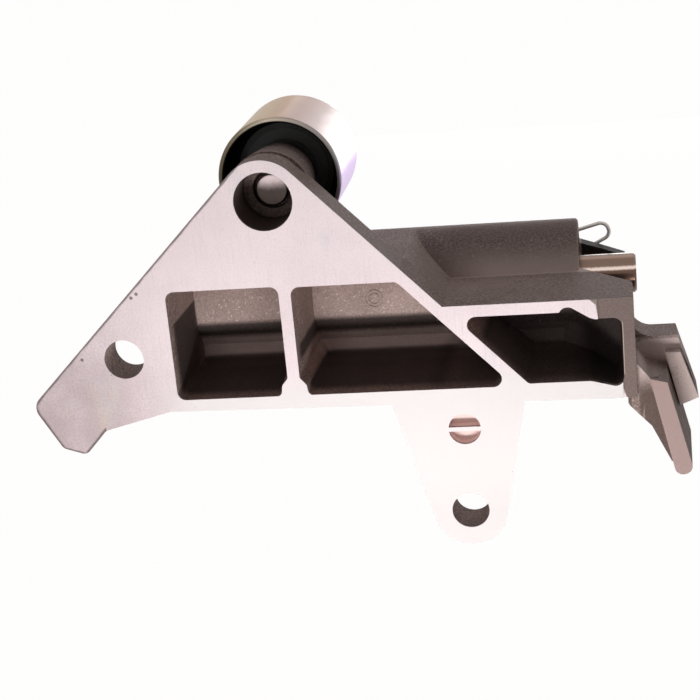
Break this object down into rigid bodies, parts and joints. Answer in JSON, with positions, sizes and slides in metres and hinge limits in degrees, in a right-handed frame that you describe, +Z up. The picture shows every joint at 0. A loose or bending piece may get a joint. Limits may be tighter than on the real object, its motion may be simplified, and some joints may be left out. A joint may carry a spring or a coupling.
{
  "type": "timing belt damper",
  "caption": "Die-cast mounting bracket with open pockets that carries a belt deflection roller on a boss and a hydraulic damper whose plunger is held in by a wire lock pin.",
  "frame": {"origin": "centre of the left bolt hole on the machined mounting face", "axes": "+X along the pockets towards the plunger, +Y from the mounting face towards the roller and the barrel, +Z up towards the roller"},
  "size_m": [0.1606, 0.0544, 0.1035],
  "materials": {
    "casting": "as-cast die casting with machined faces",
    "roller_steel": "turned steel with a thin yellow zinc film",
    "zinc_steel": "zinc plated, slightly worn",
    "bearing_steel": "ground steel",
    "cage_steel": "pressed sheet steel",
    "seal_rubber": "black nitrile rubber",
    "spring_steel": "phosphated spring steel",
    "polished_steel": "ground and polished",
    "guide_plastic": "filled guide-ring plastic",
    "pin_wire": "drawn wire"
  },
  "bodies": {
    "frame": {"bracket": "casting", "roller_bolt": "zinc_steel", "roller_washer": "zinc_steel", "bearing_inner_ring": "bearing_steel", "damper_sleeve": "bearing_steel", "rod_seal": "seal_rubber", "seal_circlip": "spring_steel", "return_spring": "spring_steel"},
    "roller": {"roller_shell": "roller_steel", "bearing_outer_ring": "bearing_steel", "bearing_seal_front": "seal_rubber", "bearing_seal_rear": "seal_rubber", "bearing_circlip": "spring_steel"},
    "ball_set": {"bearing_balls": "bearing_steel", "bearing_cage": "cage_steel"},
    "plunger": {"plunger_rod": "polished_steel", "damper_piston": "bearing_steel", "wear_ring": "guide_plastic", "check_retainer": "cage_steel", "check_spring": "spring_steel"},
    "valve_ball": {"check_ball": "bearing_steel"},
    "pin": {"lock_pin": "pin_wire"}
  },
  "joints": [
    {"name": "roller_spin", "type": "hinge", "parent": "frame", "child": "roller", "pos_m": [0.0383, 0.0379, 0.0369], "axis": [0, 1, 0], "continuous": true},
    {"name": "ball_set_spin", "type": "hinge", "parent": "frame", "child": "ball_set", "pos_m": [0.0383, 0.0379, 0.0369], "axis": [0, 1, 0], "continuous": true},
    {"name": "lock_pin_pull", "type": "slide", "parent": "frame", "child": "pin", "axis": [0, 1, 0], "range_m": [0, 0.1]},
    {"name": "plunger_slide", "type": "slide", "parent": "frame", "child": "plunger", "axis": [1, 0, 0], "range_m": [0, 0.008], "deforming": ["return_spring"]},
    {"name": "check_ball_lift", "type": "slide", "parent": "plunger", "child": "valve_ball", "axis": [-1, 0, 0], "range_m": [0, 0.0005], "stiffness_N_per_m": 50, "springref_m": -0.0005, "deforming": ["check_spring"]}
  ],
  "couplings": [
    {"joint": "ball_set_spin", "follows": "roller_spin", "ratio": 0.6322},
    {"joint": "plunger_slide", "follows": "lock_pin_pull", "ratio": 0.08}
  ]
}
